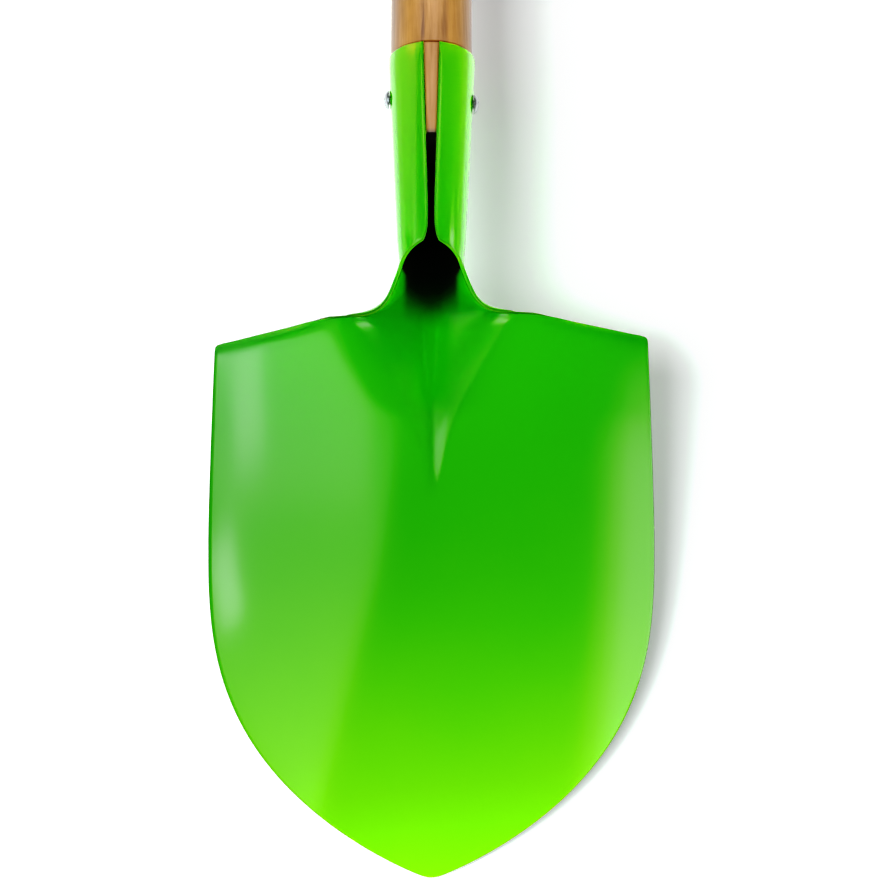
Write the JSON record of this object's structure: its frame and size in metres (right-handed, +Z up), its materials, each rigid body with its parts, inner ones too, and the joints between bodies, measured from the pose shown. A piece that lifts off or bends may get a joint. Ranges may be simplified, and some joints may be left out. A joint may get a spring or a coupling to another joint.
{
  "type": "children's spade",
  "caption": "Children's spade with a bright green pressed steel blade, a rolled socket with an open seam, a round wooden shaft and a wooden T grip.",
  "frame": {"origin": "On the floor, under the middle of the spade's box, as it lies face down on its tip and its grip.", "axes": "+Y runs from the blade's tip towards the grip, +X across the blade, +Z up, out of the blade's back."},
  "size_m": [0.1394, 0.7344, 0.0453],
  "materials": {
    "green_paint": "bright green gloss powder coat on pressed steel sheet",
    "wood": "turned hardwood, sanded, thin clear oil",
    "zinc": "bright zinc plate"
  },
  "bodies": {
    "root": {"blade_and_socket": "green_paint", "shaft": "wood", "grip_crossbar": "wood", "socket_screw_left": "zinc", "socket_screw_right": "zinc", "grip_screw": "zinc"}
  },
  "joints": []
}
